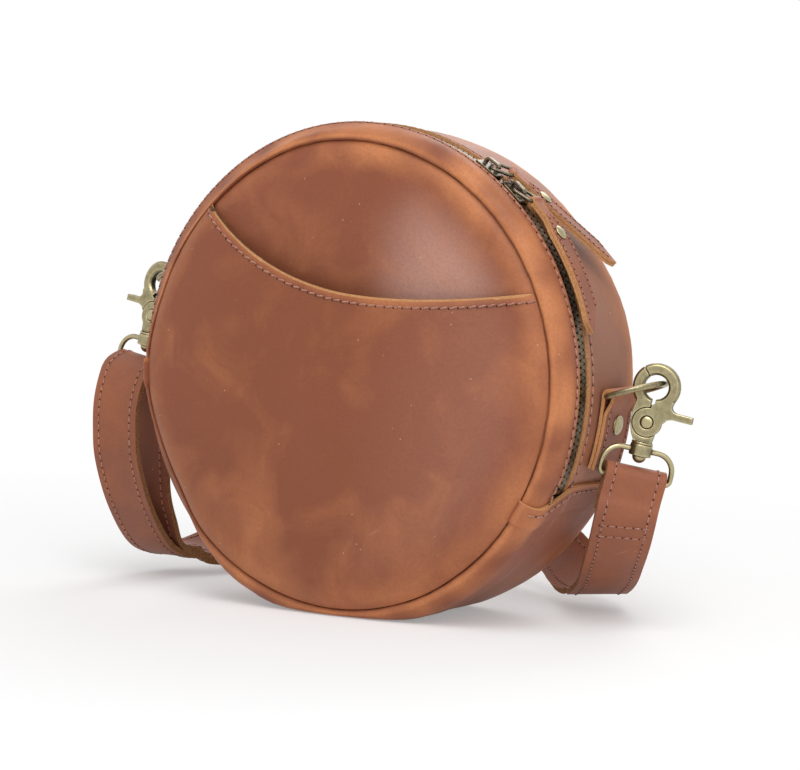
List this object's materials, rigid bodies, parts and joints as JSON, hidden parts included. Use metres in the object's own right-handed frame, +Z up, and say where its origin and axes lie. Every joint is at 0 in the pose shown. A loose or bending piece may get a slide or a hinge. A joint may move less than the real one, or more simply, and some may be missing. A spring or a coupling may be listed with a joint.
{
  "type": "round leather crossbody bag",
  "caption": "Round crossbody bag with a curved zip, a front pocket and a detachable strap on swivel snap hooks and D-rings.",
  "frame": {"origin": "middle of the flat on the bottom gusset on which the bag rests", "axes": "+Z up, -Y towards the front pocket, +X to the right seen from the front"},
  "size_m": [0.2801, 0.261, 0.1955],
  "materials": {
    "leather": "waxed brown leather, lighter where it is bent",
    "rear_leather": "waxed leather, lighter and rosier",
    "tab_leather": "waxed leather with light raw edges",
    "lining": "plain dark cotton",
    "tape": "woven zip tape",
    "teeth": "darkened metal",
    "spring_steel": "bare spring wire",
    "antique_brass": "antique brass, dark in the recesses"
  },
  "bodies": {
    "bag": {"front_panel": "leather", "front_pocket": "leather", "back_panel": "rear_leather", "zip_gusset_front": "leather", "zip_gusset_rear": "rear_leather", "bottom_gusset": "leather", "lining": "lining", "zip_tape_front": "tape", "zip_tape_rear": "tape", "zip_teeth_front": "teeth", "zip_teeth_rear": "teeth", "tab_left": "tab_leather", "tab_right": "tab_leather", "tab_rivet_left": "antique_brass", "tab_rivet_right": "antique_brass", "strap": "leather", "strap_adjuster": "antique_brass"},
    "slider_left": {"zip_slider_left": "antique_brass"},
    "link_left": {"pull_link_left": "antique_brass"},
    "pull_left": {"pull_tab_left": "tab_leather", "pull_rivet_left": "antique_brass"},
    "ring_left": {"d_ring_left": "antique_brass"},
    "loop_left": {"swivel_loop_left": "antique_brass"},
    "hook_left": {"hook_body_left": "antique_brass", "trigger_pin_left": "antique_brass", "trigger_spring_left": "spring_steel"},
    "trigger_left": {"hook_trigger_left": "antique_brass"},
    "slider_right": {"zip_slider_right": "antique_brass"},
    "link_right": {"pull_link_right": "antique_brass"},
    "pull_right": {"pull_tab_right": "tab_leather", "pull_rivet_right": "antique_brass"},
    "ring_right": {"d_ring_right": "antique_brass"},
    "loop_right": {"swivel_loop_right": "antique_brass"},
    "hook_right": {"hook_body_right": "antique_brass", "trigger_pin_right": "antique_brass", "trigger_spring_right": "spring_steel"},
    "trigger_right": {"hook_trigger_right": "antique_brass"}
  },
  "joints": [
    {"name": "zip_left", "type": "hinge", "parent": "bag", "child": "slider_left", "pos_m": [0, -0.01575, 0.0955], "axis": [0, 1, 0], "range_deg": [-100, 0]},
    {"name": "link_swing_left", "type": "hinge", "parent": "slider_left", "child": "link_left", "pos_m": [0.05711, -0.01575, 0.17953], "axis": [0.4383, -0.848, -0.2979], "range_deg": [0, 95]},
    {"name": "pull_swing_left", "type": "hinge", "parent": "link_left", "child": "pull_left", "pos_m": [0.06381, -0.01131, 0.17676], "axis": [0.4383, -0.848, -0.2979], "range_deg": [0, 60]},
    {"name": "ring_swing_left", "type": "hinge", "parent": "bag", "child": "ring_left", "pos_m": [-0.09569, 0.009, 0.13416], "axis": [0, 1, 0], "range_deg": [-5, 1]},
    {"name": "loop_swing_left", "type": "hinge", "parent": "bag", "child": "loop_left", "pos_m": [-0.12154, 0.00502, 0.09056], "axis": [0.9783, -0.1143, -0.1729], "range_deg": [-2, 2]},
    {"name": "swivel_left", "type": "hinge", "parent": "loop_left", "child": "hook_left", "pos_m": [-0.11941, 0.0063, 0.10179], "axis": [0.1855, 0.1115, 0.9763], "range_deg": [-10, 10]},
    {"name": "trigger_left", "type": "hinge", "parent": "hook_left", "child": "trigger_left", "pos_m": [-0.11737, 0.00753, 0.11253], "axis": [-0.1941, -0.9698, 0.1476], "range_deg": [0, 28], "stiffness_Nm_per_rad": 0.05, "springref_deg": -17.19},
    {"name": "zip_right", "type": "hinge", "parent": "bag", "child": "slider_right", "pos_m": [0, -0.01575, 0.0955], "axis": [0, 1, 0], "range_deg": [0, 64]},
    {"name": "link_swing_right", "type": "hinge", "parent": "slider_right", "child": "link_right", "pos_m": [0.06851, -0.01575, 0.17053], "axis": [0.0515, -0.9976, -0.047], "range_deg": [0, 95]},
    {"name": "pull_swing_right", "type": "hinge", "parent": "link_right", "child": "pull_right", "pos_m": [0.0759, -0.01517, 0.16637], "axis": [0.0515, -0.9976, -0.047], "range_deg": [0, 60]},
    {"name": "ring_swing_right", "type": "hinge", "parent": "bag", "child": "ring_right", "pos_m": [0.10314, 0.009, 0.0919], "axis": [0, 1, 0], "range_deg": [-1.5, 8]},
    {"name": "loop_swing_right", "type": "hinge", "parent": "bag", "child": "loop_right", "pos_m": [0.11197, 0.00431, 0.06016], "axis": [0.7706, 0.6052, -0.1996], "range_deg": [-1, 2.5]},
    {"name": "swivel_right", "type": "hinge", "parent": "loop_right", "child": "hook_right", "pos_m": [0.11395, 0.0055, 0.07143], "axis": [0.1724, 0.1036, 0.9796], "range_deg": [-10, 10]},
    {"name": "trigger_right", "type": "hinge", "parent": "hook_right", "child": "trigger_right", "pos_m": [0.11585, 0.00664, 0.0822], "axis": [-0.313, 0.9487, -0.0452], "range_deg": [0, 28], "stiffness_Nm_per_rad": 0.05, "springref_deg": -17.19}
  ]
}
